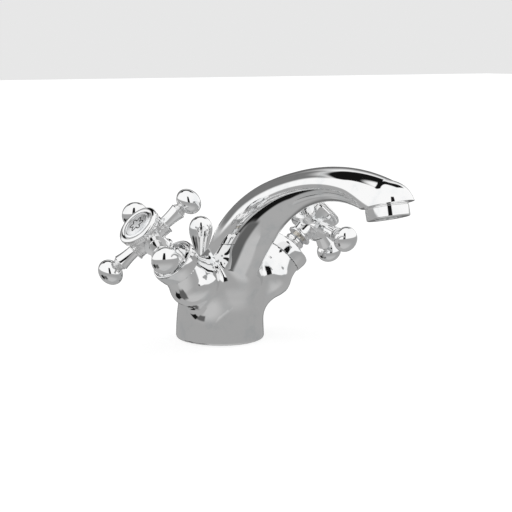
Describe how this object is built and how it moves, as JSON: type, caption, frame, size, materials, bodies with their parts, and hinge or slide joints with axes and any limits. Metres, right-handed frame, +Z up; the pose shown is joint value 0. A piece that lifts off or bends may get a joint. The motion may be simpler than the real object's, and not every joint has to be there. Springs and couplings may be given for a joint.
{
  "type": "basin mixer tap",
  "caption": "Deck mounted two-handle basin mixer with a fixed arched spout, ball-ended cross handles on slanted valves, an aerator and a drain lift knob.",
  "frame": {"origin": "centre of the base on the deck plane", "axes": "+Z up from the deck; the spout points along -Y; the hot side is -X and the cold side is +X"},
  "size_m": [0.1617, 0.1933, 0.1086],
  "materials": {
    "chrome_casting": "polished chrome plate on a brass casting",
    "chrome_trim": "polished chrome plate on turned brass",
    "chrome_handle": "polished chrome plate on forged brass",
    "steel": "drawn stainless steel",
    "bare_brass": "turned unplated brass",
    "ceramic": "lapped alumina",
    "index_enamel": "glossy white glaze",
    "black_rubber": "moulded rubber",
    "grey_plastic": "moulded acetal"
  },
  "bodies": {
    "body": {"body_casting": "chrome_casting", "base_gasket": "black_rubber", "aerator_housing": "chrome_trim", "aerator_insert": "grey_plastic", "aerator_washer": "black_rubber", "rod_bush": "bare_brass", "rod_seal": "black_rubber", "hot_bowl": "chrome_trim", "hot_headwork": "chrome_trim", "hot_flange_seal": "black_rubber", "hot_fixed_disc": "ceramic", "hot_seat_seal": "black_rubber", "cold_bowl": "chrome_trim", "cold_headwork": "chrome_trim", "cold_flange_seal": "black_rubber", "cold_fixed_disc": "ceramic", "cold_seat_seal": "black_rubber"},
    "hot_handle_set": {"hot_handle": "chrome_handle", "hot_handle_screw": "steel", "hot_index_ring": "chrome_handle", "hot_index_disc": "index_enamel", "hot_spindle": "bare_brass", "hot_spindle_rings": "black_rubber", "hot_spindle_clip": "steel", "hot_moving_disc": "ceramic"},
    "cold_handle_set": {"cold_handle": "chrome_handle", "cold_handle_screw": "steel", "cold_index_ring": "chrome_handle", "cold_index_disc": "index_enamel", "cold_spindle": "bare_brass", "cold_spindle_rings": "black_rubber", "cold_spindle_clip": "steel", "cold_moving_disc": "ceramic"},
    "lift": {"lift_knob": "chrome_trim", "lift_rod": "steel"}
  },
  "joints": [
    {"name": "hot_valve", "type": "hinge", "parent": "body", "child": "hot_handle_set", "pos_m": [-0.0548, -0.0155, 0.0654], "axis": [-0.7292, -0.0702, 0.6807], "range_deg": [0, 90]},
    {"name": "cold_valve", "type": "hinge", "parent": "body", "child": "cold_handle_set", "pos_m": [0.0548, -0.0155, 0.0654], "axis": [0.7292, -0.0702, 0.6807], "range_deg": [-90, 0]},
    {"name": "drain_lift", "type": "slide", "parent": "body", "child": "lift", "axis": [0, 0, 1], "range_m": [-0.01, 0.01]}
  ]
}
